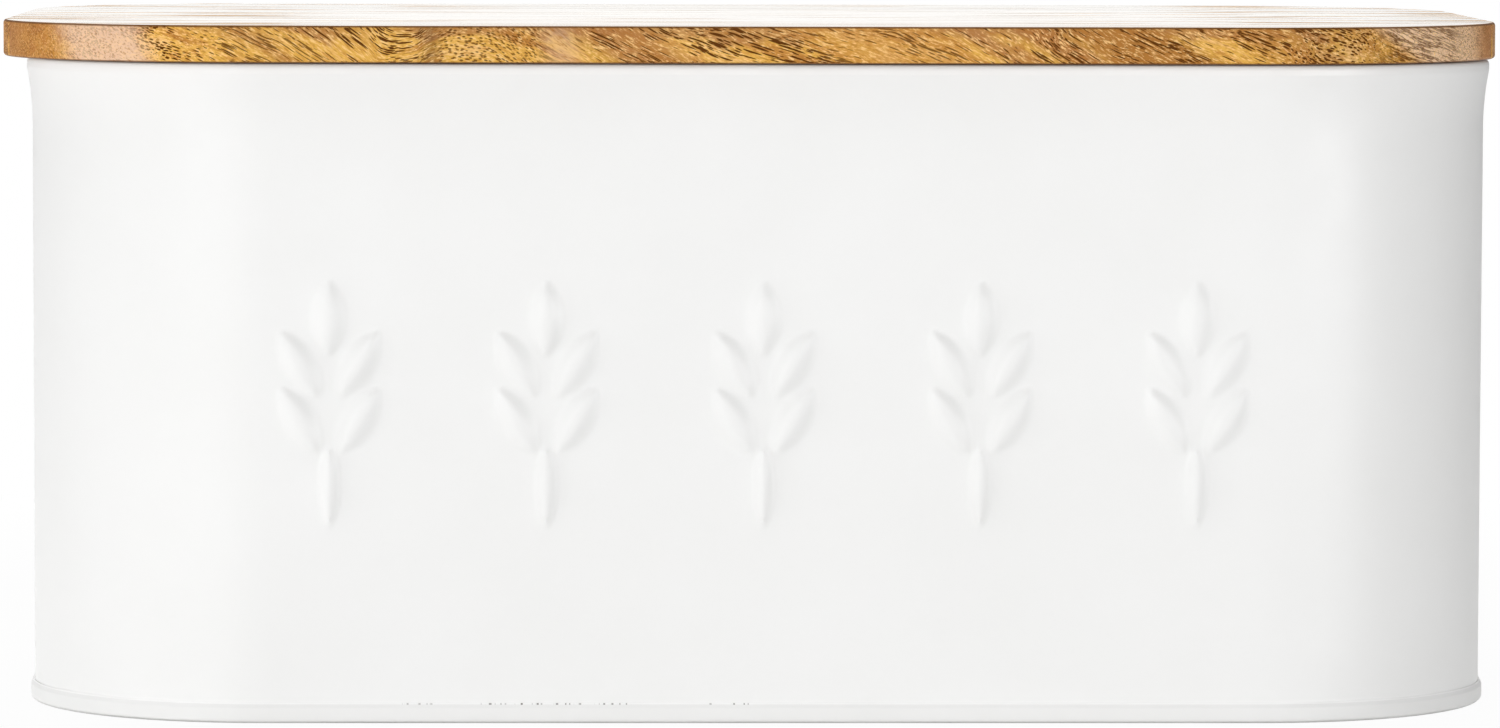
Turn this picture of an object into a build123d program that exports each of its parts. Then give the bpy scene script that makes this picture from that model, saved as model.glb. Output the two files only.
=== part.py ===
from build123d import *
from math import asin, cos, degrees, radians, sin, tan
import os

# Bread bin: a rounded-rectangle bin of enamelled sheet steel with a loose wooden lid.
# Millimetres. The origin is on the ground under the middle of the bin, +Z is up, and the
# front, with its row of pressed ears of wheat, faces -Y.

# Bin body, on the outer face of the wall
bin_width = 330.0
bin_depth = 200.0
corner_radius = 54.0
rim_height = 146.0
sheet = 0.4

# Rim: the wall flares out a little, then rolls inwards into a hollow bead of flat steps
flare_radius = 70.0
flare_height = 15.5
roll_radius = 2.1
roll_turn = 285.0
roll_steps = 8

# Bottom seam: the wall is hemmed outwards and the base is folded up round the hem
fold_gap = 0.03
hem_height = 3.0
flange_height = 3.1
bead_height = 4.6

# Base: a tray with a raised stiffening panel
floor_height = 5.0
panel_inset = 14.0
panel_slope = 2.0
panel_rise = 1.2

# Lock seam up the middle of the back, where the ends of the wall strip hook together
seam_width = 7.0
seam_gap = 0.05
seam_low = 8.0
seam_high = 127.0
seam_slope = 0.4
seam_land = 3.0

# Pressed ears of wheat on the front
ear_count = 5
ear_spacing = 48.0
ear_top = 97.5
relief_rise = 1.2
relief_slope = 45.0
grain_length = 15.5
grain_width = 7.2
grain_lean = 30.0
grain_offset = 6.5
grain_pairs = 2
grain_pitch = 12.5
grain_first = 10.0
stem_length = 17.0
stem_width = 3.6
stem_drop = 14.5

# Lid: staves glued edge to edge, with a plug underneath that drops into the mouth
stave_count = 5
lid_overhang = 4.5
flange_thickness = 8.2
lid_edge = 0.7
plug_depth = 6.5
plug_clearance = 2.5
plug_edge = 0.8
seat_gap = 0.3
lid_shift = -2.0

# Worked out from the sizes above
layer = sheet + fold_gap
flare_base = rim_height - flare_height
flare_lean = asin((flare_height - roll_radius) / (flare_radius + roll_radius))
roll_x = flare_radius - (flare_radius + roll_radius) * cos(flare_lean)
roll_z = rim_height - roll_radius
mouth_inset = roll_radius - roll_x
flat_x = bin_width / 2 - corner_radius
flat_y = bin_depth / 2 - corner_radius

# Section plane at the middle of the back: local X points outwards and local Y up
section = Plane(origin=(0, bin_depth / 2, 0), x_dir=(0, 1, 0), z_dir=(1, 0, 0))
front = Plane(origin=(0, -bin_depth / 2, 0), x_dir=(1, 0, 0), z_dir=(0, -1, 0))

# Plan line of the wall's outer face, once round from the middle of the back
with BuildLine() as plan_line:
    Line((0, bin_depth / 2), (flat_x, bin_depth / 2))
    RadiusArc((flat_x, bin_depth / 2), (bin_width / 2, flat_y), corner_radius)
    Line((bin_width / 2, flat_y), (bin_width / 2, -flat_y))
    RadiusArc((bin_width / 2, -flat_y), (flat_x, -bin_depth / 2), corner_radius)
    Line((flat_x, -bin_depth / 2), (-flat_x, -bin_depth / 2))
    RadiusArc((-flat_x, -bin_depth / 2), (-bin_width / 2, -flat_y), corner_radius)
    Line((-bin_width / 2, -flat_y), (-bin_width / 2, flat_y))
    RadiusArc((-bin_width / 2, flat_y), (-flat_x, bin_depth / 2), corner_radius)
    Line((-flat_x, bin_depth / 2), (0, bin_depth / 2))


def plan_shape(inset):
    """Rounded rectangle of the wall's plan, drawn in by inset, on the current sketch plane."""
    return RectangleRounded(
        bin_width - 2 * inset, bin_depth - 2 * inset, corner_radius - inset
    )


def pressed_leaf(length, width, skin):
    """Pointed leaf along Y that rises from Z = 0 with sloping sides, drawn in by skin.

    Its foot is at the inner face of the sheet, and its sides slope by relief_slope.
    """
    spread = sheet * tan(radians(relief_slope)) - skin / cos(radians(relief_slope))
    bow = (length**2 + width**2) / (4 * width)
    with BuildPart() as leaf:
        with BuildSketch(Plane.XY.offset(-sheet)):
            with Locations((bow - width / 2, 0)):
                Circle(bow + spread)
            with Locations((width / 2 - bow, 0)):
                Circle(bow + spread, mode=Mode.INTERSECT)
        extrude(amount=sheet + relief_rise - skin, taper=relief_slope)
    return leaf.part


def roll_points():
    """Inner side of the roll on the section plane: flat steps round a circle, from the flare."""
    radius = roll_radius - sheet
    half_step = radians(roll_turn / roll_steps / 2)
    points = [(roll_x + radius * cos(flare_lean), roll_z - radius * sin(flare_lean))]
    for step in range(roll_steps):
        turn = (2 * step + 1) * half_step - flare_lean
        reach = radius / cos(half_step)
        points.append((roll_x + reach * cos(turn), roll_z + reach * sin(turn)))
    last = radians(roll_turn) - flare_lean
    points.append((roll_x + radius * cos(last), roll_z + radius * sin(last)))
    return points


def ear_xs():
    """Middle of each ear across the front."""
    return [(ear - (ear_count - 1) / 2) * ear_spacing for ear in range(ear_count)]


def grain_places():
    """Place and lean of every grain on the front plane: a tip grain and pairs below it."""
    tip = ear_top - grain_length / 2
    places = []
    for ear_x in ear_xs():
        places.append(Location((ear_x, tip, 0)))
        for pair in range(grain_pairs):
            height = tip - grain_first - pair * grain_pitch
            places.append(Location((ear_x + grain_offset, height, 0), (0, 0, -grain_lean)))
            places.append(Location((ear_x - grain_offset, height, 0), (0, 0, grain_lean)))
    return places


def stem_places():
    """Place of every stem on the front plane, under the lowest pair of grains."""
    lowest = ear_top - grain_length / 2 - grain_first - (grain_pairs - 1) * grain_pitch
    return [Location((ear_x, lowest - stem_drop, 0)) for ear_x in ear_xs()]


# Bin wall: one strip bent round, hemmed at the foot and rolled at the rim
grain = pressed_leaf(grain_length, grain_width, 0)
grain_hollow = pressed_leaf(grain_length, grain_width, sheet)
stem = pressed_leaf(stem_length, stem_width, 0)
stem_hollow = pressed_leaf(stem_length, stem_width, sheet)
seam_edge = seam_width / 2
seam_layer = sheet + seam_gap

with BuildPart() as bin_wall:
    with BuildSketch(section):
        with BuildLine():
            Polyline(
                (layer, hem_height),
                (layer, layer),
                (-sheet, layer),
                (-sheet, flare_base),
            )
            CenterArc((flare_radius, flare_base), flare_radius + sheet, 180, -degrees(flare_lean))
            offset(amount=sheet, side=Side.RIGHT, kind=Kind.INTERSECTION)
        make_face()
        with BuildLine():
            Polyline(*roll_points())
            offset(amount=sheet, side=Side.RIGHT, kind=Kind.INTERSECTION)
        make_face()
    sweep(path=plan_line.line)

    # Pressed relief: each leaf stands out of the sheet in front and is hollow behind
    with Locations(front):
        with Locations(*grain_places()):
            add(grain)
            add(grain_hollow, mode=Mode.SUBTRACT)
        with Locations(*stem_places()):
            add(stem)
            add(stem_hollow, mode=Mode.SUBTRACT)

    # The strip's ends butt together above and below the lock seam and hook together in it
    with BuildSketch(Plane.XY):
        with Locations((0, bin_depth / 2)):
            Rectangle(seam_gap, 2 * seam_land + 2 * roll_radius)
    extrude(amount=rim_height, mode=Mode.SUBTRACT)
    back = Plane(origin=(0, bin_depth / 2, seam_low), x_dir=(1, 0, 0), z_dir=(0, 0, 1))
    with BuildSketch(back):
        Rectangle(seam_width + 2 * seam_land, 2 * sheet + seam_gap)
    extrude(amount=seam_high - seam_low, mode=Mode.SUBTRACT)
    with BuildSketch(back):
        with BuildLine():
            Polyline(
                (-seam_edge - seam_land, -sheet),
                (seam_edge, -sheet),
                (seam_edge, 2 * seam_layer),
                (seam_layer - seam_edge, 2 * seam_layer),
            )
            offset(amount=sheet, side=Side.LEFT, kind=Kind.INTERSECTION)
        make_face()
        with BuildLine():
            Polyline(
                (seam_edge + seam_land, 0),
                (seam_edge + seam_layer + seam_slope, 0),
                (seam_edge + seam_layer, 3 * seam_layer),
                (-seam_edge, 3 * seam_layer),
                (-seam_edge, seam_gap),
                (seam_edge - seam_layer, seam_gap),
            )
            offset(amount=sheet, side=Side.LEFT, kind=Kind.INTERSECTION)
        make_face()
    extrude(amount=seam_high - seam_low)
bin_wall.part.label = "bin_wall"

# Base: floor panel, wall of the tray inside the bin, and a flange folded up over the hem
chuck = layer + sheet
with BuildPart() as bin_base:
    with BuildSketch(section):
        with BuildLine():
            Polyline(
                (-panel_inset - panel_slope - sheet, floor_height - sheet + panel_rise),
                (-panel_inset - panel_slope, floor_height - sheet + panel_rise),
                (-panel_inset, floor_height - sheet),
                (-chuck, floor_height - sheet),
                (-chuck, 0),
                (2 * layer, 0),
                (2 * layer, flange_height),
                (fold_gap, bead_height),
            )
            offset(amount=sheet, side=Side.LEFT, kind=Kind.INTERSECTION)
        make_face()
        # The lip is dressed flush against the wall
        with Locations((fold_gap, bead_height)):
            Rectangle(
                sheet,
                2 * (bead_height - hem_height),
                align=(Align.MAX, Align.CENTER),
                mode=Mode.SUBTRACT,
            )
    sweep(path=plan_line.line)
    with BuildSketch(Plane.XY.offset(floor_height - sheet + panel_rise)):
        plan_shape(panel_inset + panel_slope + sheet / 2)
    extrude(amount=sheet)
bin_base.part.label = "bin_base"

# Lid: one rebated board, cut along its glue lines into staves
lid_width = bin_width + 2 * lid_overhang
lid_depth = bin_depth + 2 * lid_overhang
lid_under = rim_height + seat_gap
plug_inset = mouth_inset + plug_clearance
with BuildPart() as lid:
    with BuildSketch(Plane.XY.offset(lid_under)):
        with Locations((lid_shift, 0)):
            plan_shape(-lid_overhang)
    extrude(amount=flange_thickness)
    chamfer(lid.edges().filter_by(Plane.XY), lid_edge)
    with BuildSketch(Plane.XY.offset(lid_under)):
        with Locations((lid_shift, 0)):
            plan_shape(plug_inset)
    extrude(amount=-plug_depth)
    chamfer(lid.faces().sort_by(Axis.Z)[0].edges(), plug_edge)

stave_width = lid_depth / stave_count
staves = []
for row in range(stave_count):
    with BuildPart() as stave:
        add(lid.part)
        with BuildSketch(Plane.XY.offset(lid_under - plug_depth)):
            with Locations((lid_shift, (row + 0.5) * stave_width - lid_depth / 2)):
                Rectangle(lid_width, stave_width)
        extrude(amount=plug_depth + flange_thickness, mode=Mode.INTERSECT)
    stave.part.label = f"lid_stave_{row + 1}"
    staves.append(stave.part)

os.makedirs("parts", exist_ok=True)
for piece in [bin_wall.part, bin_base.part, *staves]:
    export_step(piece, f"parts/{piece.label}.step")
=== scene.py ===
from math import asin, cos, pi, radians, sin

import bmesh
import bpy
import numpy as np
from mathutils import Matrix, Vector, noise


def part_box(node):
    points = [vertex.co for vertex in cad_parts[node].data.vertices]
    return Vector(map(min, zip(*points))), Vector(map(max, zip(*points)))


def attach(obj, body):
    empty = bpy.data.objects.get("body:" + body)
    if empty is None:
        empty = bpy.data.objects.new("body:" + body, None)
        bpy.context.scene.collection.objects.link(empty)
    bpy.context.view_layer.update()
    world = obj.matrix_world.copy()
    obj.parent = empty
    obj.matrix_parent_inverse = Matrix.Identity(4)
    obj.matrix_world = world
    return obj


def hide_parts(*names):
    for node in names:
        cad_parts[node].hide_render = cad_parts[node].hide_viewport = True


# Bread bin: white enamelled sheet steel with a row of pressed ears of wheat, and a loose
# wooden lid of five glued staves. Metres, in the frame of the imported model: +Z up, front at -Y.
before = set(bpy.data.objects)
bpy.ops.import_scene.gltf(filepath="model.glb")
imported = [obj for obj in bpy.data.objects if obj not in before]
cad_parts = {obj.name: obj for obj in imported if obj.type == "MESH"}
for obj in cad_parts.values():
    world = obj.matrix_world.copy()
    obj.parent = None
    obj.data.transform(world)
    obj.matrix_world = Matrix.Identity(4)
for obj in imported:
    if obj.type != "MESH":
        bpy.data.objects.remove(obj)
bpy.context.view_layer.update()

MM = 0.001

# Sheet metal and its folds
SHEET = 0.4 * MM
FOLD_GAP = 0.03 * MM
LAYER = SHEET + FOLD_GAP
BEAD_PROUD = 2 * LAYER
HEM_HEIGHT = 3.0 * MM
HEM_END = 1.8 * MM
SHOULDER_HEIGHT = 3.4 * MM
BEAD_HEIGHT = 4.6 * MM
FLOOR_HEIGHT = 5.0 * MM
PANEL_INSET = 14.0 * MM
PANEL_SLOPE = 2.0 * MM
PANEL_RISE = 1.2 * MM
PANEL_RIM = 3.0 * MM
HEM_RADIUS = 0.21 * MM
PANEL_RADIUS = 1.5 * MM
PRESS_RADIUS = 0.4 * MM
FOOT_RADIUS = 0.85 * MM
LIP_RADIUS = 0.6 * MM
PINHOLE_DROP = 0.25 * MM

# Lip at the foot: where it ends, in halves of the sheet from the wall and below its top, and
# how its edge wanders, with the scale and seed of that noise
LIP_END = (0.8, 0.7)
LIP_START = 2.2 * MM
LIP_WAVE = 0.10 * MM
WAVE_NOISE = (45, 3.7)
LIP_WRINKLE = 0.35 * MM
WRINKLE_NOISE = (130, 9.1)
LIP_TUCK = 0.15

# Plan and rim of the bin, on the wall's outer face
_, base_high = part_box("bin_base")
_, wall_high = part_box("bin_wall")
HALF_X = base_high.x - BEAD_PROUD
HALF_Y = base_high.y - BEAD_PROUD
CORNER = 54.0 * MM
FLAT_X = HALF_X - CORNER
FLAT_Y = HALF_Y - CORNER
RIM_TOP = wall_high.z
FLARE_RADIUS = 70.0 * MM
FLARE_HEIGHT = 15.5 * MM
ROLL_RADIUS = 2.1 * MM
ROLL_TURN = radians(285)
ROLL_SQUARENESS = 4.5
FLARE_BASE = RIM_TOP - FLARE_HEIGHT
FLARE_LEAN = asin((FLARE_HEIGHT - ROLL_RADIUS) / (FLARE_RADIUS + ROLL_RADIUS))
ROLL_X = FLARE_RADIUS - (FLARE_RADIUS + ROLL_RADIUS) * cos(FLARE_LEAN)
ROLL_Z = RIM_TOP - ROLL_RADIUS

# Lock seam up the middle of the back
SEAM_HALF = 3.5 * MM
SEAM_RISE = 1.35 * MM
SEAM_SLOPE = 0.4 * MM
SEAM_STEP = 0.15 * MM
SEAM_LOW = 8.0 * MM
SEAM_HIGH = 127.0 * MM
BUTT_WIDTH = 0.25 * MM
BUTT_DEPTH = 0.12 * MM

# Pressed ears of wheat
EAR_COUNT = 5
EAR_SPACING = 48.0 * MM
EAR_TOP = 97.5 * MM
GRAIN_LENGTH = 15.5 * MM
GRAIN_WIDTH = 7.2 * MM
GRAIN_LEAN = radians(30)
GRAIN_OFFSET = 6.5 * MM
GRAIN_PAIRS = 2
GRAIN_PITCH = 12.5 * MM
GRAIN_FIRST = 10.0 * MM
STEM_LENGTH = 17.0 * MM
STEM_WIDTH = 3.6 * MM
STEM_DROP = 14.5 * MM
TIP_MIDDLE = EAR_TOP - GRAIN_LENGTH / 2
STEM_MIDDLE = TIP_MIDDLE - GRAIN_FIRST - (GRAIN_PAIRS - 1) * GRAIN_PITCH - STEM_DROP
RELIEF_RISE = 1.2 * MM
RELIEF_FOOT = 0.7 * MM
RELIEF_FLANK = 0.85
RELIEF_TAPER = 0.6
RELIEF_STEP = 0.75 * MM

# Lid: the box of its staves gives its size and place
STAVE_COUNT = 5
lid_boxes = [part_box(f"lid_stave_{row + 1}") for row in range(STAVE_COUNT)]
LID_LOW = Vector(map(min, *[low for low, high in lid_boxes]))
LID_HIGH = Vector(map(max, *[high for low, high in lid_boxes]))
LID_SHIFT = (LID_LOW.x + LID_HIGH.x) / 2
LID_OVERHANG = LID_HIGH.y - HALF_Y
LID_THICKNESS = 8.2 * MM
LID_UNDER = LID_HIGH.z - LID_THICKNESS
LID_EDGE = 0.8 * MM
PLUG_EDGE = 0.8 * MM
PLUG_CLEARANCE = 2.5 * MM
PLUG_INSET = ROLL_RADIUS - ROLL_X + PLUG_CLEARANCE
PLUG_ROOT = 0.01 * MM
GLUE_GROOVE = 0.12 * MM
ON_CUT = 1e-6
ON_OUTLINE = 1.0 * MM

# Levels of the wall's mesh: how many on plain stretches, at the foot and on the seam's slopes,
# and how far they keep from the leaves and the seam's ends
RISE_START = 2.0 * MM
PLAIN_LEVELS = 8
FOOT_LEVELS = 5
SLOPE_LEVELS = 3
LEAF_MARGIN = 2.0 * MM
PLAIN_MARGIN = 3.0 * MM
SEAM_END_MARGIN = 1.0 * MM

# Places across the back: the seam's surroundings and how many points lie on either side
SEAM_ZONE = 10.0 * MM
BACK_POINTS = 12
SEAM_LAND = 1.0 * MM
SEAM_INSIDE = 0.3 * MM
BUTT_LAND = 1.5 * MM
SEAM_BEYOND = 0.6 * MM

# Steps of the meshes: round a plan corner, along a short side, along a long side and in arcs
WALL_CORNER_STEPS = 32
WALL_SIDE_STEPS = 10
BASE_SIDE_STEPS = 30
BASE_FRONT_POINTS = 75
LID_CORNER_STEPS = 36
LID_SIDE_STEPS = 24
LID_FRONT_POINTS = 60
FLARE_STEPS = 10
ROLL_STEPS = 40
FOLD_STEPS = 6
EDGE_STEPS = 7
PLUG_EDGE_STEPS = 5

# Edges bent more than this stay sharp in the shading
METAL_SHARP = radians(50)
WOOD_SHARP = radians(40)

# Camera: place in millimetres, angles in radians
CAMERA_MM = (-37.3, -1716, 197.1)
CAMERA_PITCH = 0.0724
CAMERA_YAW = 0.0212
CAMERA_ROLL = 0.0026
LENS_MM = 176.0
SENSOR_MM = 36.0
CLIP_END = 50

# Floor and surroundings: the floor is a little less white near the bin and fades to full white.
# To the sides both dim in gloss, down to a last share
FLOOR_SIZE = 8.0
FLOOR_ROUGHNESS = 0.9
AMBIENT = 0.12
FLOOR_WHITE = 0.96
FLOOR_FADE = (0.25, 0.5)
FLOOR_SIDES = (0.25, 0.6)
FLOOR_SIDE_SHARE = 0.1
WORLD_SIDES = (0.10, 0.20)
WORLD_SIDE_SHARE = 0.15

# Lamps: name, place, width, height, power and whether gloss shows them
LAMPS = [
    ("left_lamp", (-2.50, -0.72, 0.24), 1.4, 0.48, 33.5, False),
    ("left_front_lamp", (-1.10, -2.36, 0.22), 1.4, 0.44, 10.8, True),
    ("front_lamp", (0.00, -2.60, 0.22), 1.4, 0.44, 8.6, True),
    ("right_lamp", (1.56, -2.08, 0.22), 1.4, 0.44, 23.0, True),
    ("back_left_lamp", (-1.0, 2.3, 1.5), 1.4, 1.0, 28, False),
    ("back_right_lamp", (0.7, 2.4, 1.5), 1.4, 1.0, 24, False),
    ("top_lamp", (0.0, 0.0, 2.6), 1.6, 1.6, 22, False),
]

# Sockets of a mix node that mixes colours: share, first and second colour, and the result
COLOUR_MIX_INPUTS = (0, 6, 7)
COLOUR_MIX_RESULT = 2

# Colours of the surroundings and the enamel
FLOOR_GREY = (0.70, 0.70, 0.70, 1)
MIRRORED_WHITE = (1, 1, 0.985, 1)
ENAMEL_LOW = (0.845, 0.845, 0.835, 1)
ENAMEL_HIGH = (0.885, 0.885, 0.88, 1)
# Painted shade for the fold below the lip
FOLD_SHADE = (0.6, 0.6, 0.58, 1)
# Painted highlight for the lip's edge
LIP_PAINTED_HIGHLIGHT = (0.97, 0.97, 0.965, 1)
# Painted shade for the foot's lower edge, where it meets the floor
FOOT_SHADE_GREY = (0.36, 0.36, 0.34, 1)
SPOT_BROWN = (0.12, 0.10, 0.09, 1)

# Enamel: scales per millimetre of its mottling, gloss and orange peel, and their ranges
MOTTLE_SCALE = 0.03
SATIN_SCALE = 0.12
PEEL_SCALE = 0.9
SATIN = (0.36, 0.44)
PEEL_STRENGTH = 0.25
PEEL_DEPTH = 0.03 * MM
# Range of the mottled painted shade at the foot
FOOT_SHADE_RANGE = (0.4, 0.65)
# Strength of the painted highlight on the lip's edge
LIP_HIGHLIGHT_SHARE = 0.9

# Noise over which the mottling and the gloss change
EVEN_NOISE = (0.3, 0.7)

# Heights in millimetres of the painted shade on the fold, painted highlight on the lip and painted
# shade at the foot
FOLD_SHADE_HEIGHTS = (3.5, 4.1)
LIP_HIGHLIGHT_HEIGHTS = (4.15, 4.35)
FOOT_SHADE_HEIGHTS = (0.15, 0.75)

# Base: how strong the painted shade on the fold under the lip is
BASE_SHADE = 0.11

# Spots in the crease above the lip: how near its level, how many to a millimetre, the noise over
# which they darken, soft ends, and the stretches as low and high end along X and strength
SPOT_REACH = (0.08, 0.26)
SPOT_SCALE = 1.15
SPOT_NOISE = (0.5, 0.62)
SPOT_SOFTNESS = 0.4
CREASE_PINHOLES = [
    (-80, -73, 0.5), (-63, -57, 0.8), (-55, -49, 1.0), (-48, -45, 0.8), (-44, -40, 0.9),
    (-38, -30, 0.8), (-11.8, -11.0, 1.0), (-7, -3, 0.8), (0, 0.8, 0.7), (8, 9, 0.5),
]

# Tones of the wood
TAN = (0.82, 0.48, 0.165, 1)
GOLD = (0.76, 0.42, 0.075, 1)
HONEY = (0.61, 0.285, 0.056, 1)
AMBER = (0.45, 0.180, 0.030, 1)
UMBER = (0.16, 0.065, 0.018, 1)
ROSE = (0.43, 0.190, 0.062, 1)
RUST = (0.45, 0.172, 0.042, 1)
PALE = (0.81, 0.56, 0.40, 1)
LIGHT = (0.95, 0.62, 0.25, 1)
SAND = (0.88, 0.62, 0.41, 1)
PORE = (0.110, 0.032, 0.0, 1)

# Wood, in millimetres: its top and underside, how far the fibres bend, how far apart the staves'
# patterns are taken and how soft the ends of zones are. A stroke's edge is a part of its cell
LID_TOP_MM = LID_HIGH.z / MM
LID_UNDER_MM = LID_UNDER / MM
FIBRE_BEND = 4.5
STAVE_APART = 41.0
ZONE_SOFTNESS = 3.5
STROKE_EDGE = 0.065

# Lengths in x, y and z over which the fibres wander
WANDER = (18, 40, 12)

# Tones of the bands over AMBER, by the noise that they start and end at
BAND_TONES = [(0.34, 0.44, HONEY), (0.42, 0.50, GOLD), (0.52, 0.64, TAN)]

# Brown patches near the top: how deep their lower edge wanders, where they start, their share
BROWN_WANDER = 12
BROWN_HEIGHTS = (LID_TOP_MM + 2.6, LID_TOP_MM + 4.4)
BROWN_SHARE = 0.8

# Heights between which the darker top edge and the painted shade of the gap under the lid start,
# and their share
EDGE_DARK_SHARE = 0.9
TOP_EDGE_DARK = (LID_TOP_MM - 0.55, LID_TOP_MM - 0.25)
UNDER_GAP_SHADE = (LID_UNDER_MM + 0.12, LID_UNDER_MM + 0.40)

# Parts of a face's normal between which it turns level, polished or to end grain
LEVEL_TURN = (0.95, 0.998)
POLISHED_TURN = (0.985, 0.9995)
END_GRAIN_TURN = (0.86, 0.97)
END_GRAIN_SHARE = 0.7

# On the level faces the fibres are longer and nearly level: shares of their run and of the slope
LEVEL_RUN = 0.38
LEVEL_DIVE = 0.06

# Patterns along the fibres: length and width
BANDS = (26, 3.4)
PATCHES = (14, 5)
FINE_FIBRES = (1.6, 0.42)
PORE_CLUSTERS = (16, 5)
LONG_STROKES = (6.0, 0.52)
SHORT_STROKES = (2.8, 0.46)
DOTS = (1.1, 0.50)
RINGS = (7, 0.9)

# Fine fibres: the noise over which they turn dark or light, and how dark or light they get. Where
# a zone keeps no strokes, light fibres keep only a part
DARK_FIBRES = (0.28, 0.50)
DARK_SHARE = 0.80
LIGHT_FIBRES = (0.50, 0.68)
LIGHT_SHARE = 0.85
LIGHT_KEPT = 0.3

# Strokes: the noise over which they grow from sparse to dense, and their sizes there
LONG_GROWTH = (0.32, 0.60)
LONG_SPARSE_LEVEL = 0.05
LONG_SPARSE_EDGE = 0.20
LONG_DENSE = 0.42
SHORT_GROWTH = (0.38, 0.66)
SHORT_SIZES = (0.05, 0.35)
SHORT_SHIFT = 7.3
PORES_ON_LEVEL = 0.7

# Dots: size, soft edge, strength and the softness of the ends of their stretches
DOT_SIZE = 0.42
DOT_EDGE = 0.14
DOT_SHARE = 0.85
DOT_SOFTNESS = 2.0
DOT_SHIFT = 3.1

# Rings: width of a line in the noise, its strength, how far it hides strokes, soft ends
RING_LINE = 0.07
RING_SHARE = 0.95
RING_COVER = 0.75
RING_SOFTNESS = 4.0

# Lacquer: polished on the top, satin on the edges, dull in the pores and in lines along the top
POLISHED_ROUGHNESS = 0.12
SATIN_ROUGHNESS = 0.42
PORE_ROUGHNESS = 0.65
LACQUER_SPECULAR = 0.12
COAT_IOR = 1.4
COAT_ROUGHNESS = 0.08
GRAIN_DEPTH = 0.1 * MM
FIBRE_HEIGHT = 0.3
GRAIN_STRENGTH = 0.5

# Dull lines: length and width, the noise over which they start, the distances from the middle over
# which they come in from a first share, and the same for the grazing angle
DULL_SIZE = (48, 6)
DULL_LINES = (0.55, 0.67)
DULL_ENDS = (40, 150)
DULL_MIDDLE_SHARE = 0.35
DULL_GRAZING = (0.87, 0.96)
DULL_STEEP_SHARE = 0.25

# Looks of the staves from the front to the back: own tone and its share; place and angle of the
# grain; zones as low, high, lean, tone, share and strokes kept; specks; rings
STAVE_LOOKS = [
    # Front stave: a knot a fifth of the way along, beside it a stretch of end-on fibres
    (
        (GOLD, 0.0),
        [
            (-172, 5), (-135, 16), (-118, 26), (-100, 30), (-88, 42), (-82, 20), (-78, -18),
            (-73.5, -42), (-68, 15), (-47, 30), (-20, 26), (-5, 18), (20, 14), (36, 22), (50, 32),
            (80, 28), (110, 24), (130, 18), (150, 24), (168, 10),
        ],
        [
            (-176, -155.5, 0, RUST, 0.75, 0.45), (-155, -136.5, 0.3, PALE, 0.85, 0.25),
            (-120, -100, 1.6, GOLD, 0.5, 0.8), (-113, -109, 1.6, ROSE, 0.6, 1.0),
            (-92, -78, 0.5, GOLD, 0.7, 1.0), (-75.5, -71.5, 0.1, UMBER, 0.55, 0.9),
            (-48, -41, 0, PALE, 0.35, 0.2), (-38, -22, 1.6, RUST, 0.78, 1.0),
            (-24, -12, 1.6, TAN, 0.2, 1.0), (10, 42, 1.5, HONEY, 0.7, 0.8),
            (47, 55, 1.7, ROSE, 0.7, 1.0), (60, 70, 1.7, RUST, 0.95, 1.0),
            (72, 93, 1.7, AMBER, 0.95, 1.0), (106, 124, 1.5, AMBER, 0.55, 1.0),
            (128, 142, 1.5, HONEY, 0.5, 1.0), (141, 176, 1.3, SAND, 0.95, 0.9),
            (160.5, 176, 0, RUST, 1.0, 0.45), (-42, -22, 1.6, UMBER, 0.15, 1.0),
            (58, 95, 1.7, UMBER, 0.19, 1.0), (-176, -164, 0, UMBER, 0.13, 1.0),
            (117, 137, 1.5, UMBER, 0.16, 1.0), (150, 160, 0, UMBER, 0.08, 1.0),
        ],
        [(-73, -49), (149, 160)],
        [(136, 156)],
    ),
    ((AMBER, 0.30), [(-172, 8), (0, 12), (168, 4)], [(-60, 40, 0, GOLD, 0.3, 1.0)], [], []),
    ((PALE, 0.25), [(-172, -6), (0, 4), (168, 10)], [(-20, 120, 0, AMBER, 0.5, 1.0)], [], []),
    ((ROSE, 0.40), [(-172, 14), (0, 6), (168, 12)], [(-172, -40, 0, PALE, 0.3, 0.8)], [], []),
    ((HONEY, 0.20), [(-172, -4), (0, -12), (168, -6)], [(30, 168, 0, HONEY, 0.5, 1.0)], [], []),
]


def plan_stations(front_xs, back_xs, corner_steps, side_steps):
    """Points of the wall's plan and their outward directions, once round from the front.

    Each row is x, y of the point and x, y of the direction.
    """
    rows = [(x, -HALF_Y, 0, -1) for x in front_xs]

    def corner(centre_x, centre_y, start):
        for turn in np.linspace(start, start + pi / 2, corner_steps + 1)[1:-1]:
            out_x, out_y = cos(turn), sin(turn)
            rows.append((centre_x + CORNER * out_x, centre_y + CORNER * out_y, out_x, out_y))

    corner(FLAT_X, -FLAT_Y, -pi / 2)
    rows.extend((HALF_X, y, 1, 0) for y in np.linspace(-FLAT_Y, FLAT_Y, side_steps + 1))
    corner(FLAT_X, FLAT_Y, 0)
    rows.extend((x, HALF_Y, 0, 1) for x in reversed(back_xs))
    corner(-FLAT_X, FLAT_Y, pi / 2)
    rows.extend((-HALF_X, y, -1, 0) for y in np.linspace(FLAT_Y, -FLAT_Y, side_steps + 1))
    corner(-FLAT_X, -FLAT_Y, pi)
    return np.array(rows)


def arc(centre, radius, start, turn, steps):
    """Points of an arc on the section plane, both ends included."""
    angles = np.linspace(start, start + turn, steps + 1)
    return np.array(centre) + radius * np.column_stack((np.cos(angles), np.sin(angles)))


def squared(points, centre):
    """Draws the upper outer quarter of a circle of points out towards its corner."""
    offset = points - centre
    unit = offset / np.linalg.norm(offset, axis=1)[:, None]
    upper_outer = np.all(unit > 0, axis=1)
    powers = np.sum(np.clip(unit, 0, 1) ** ROLL_SQUARENESS, axis=1)
    reach = np.where(upper_outer, powers, 1) ** (-1 / ROLL_SQUARENESS)
    return np.where(upper_outer[:, None], centre + offset * reach[:, None], points)


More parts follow.
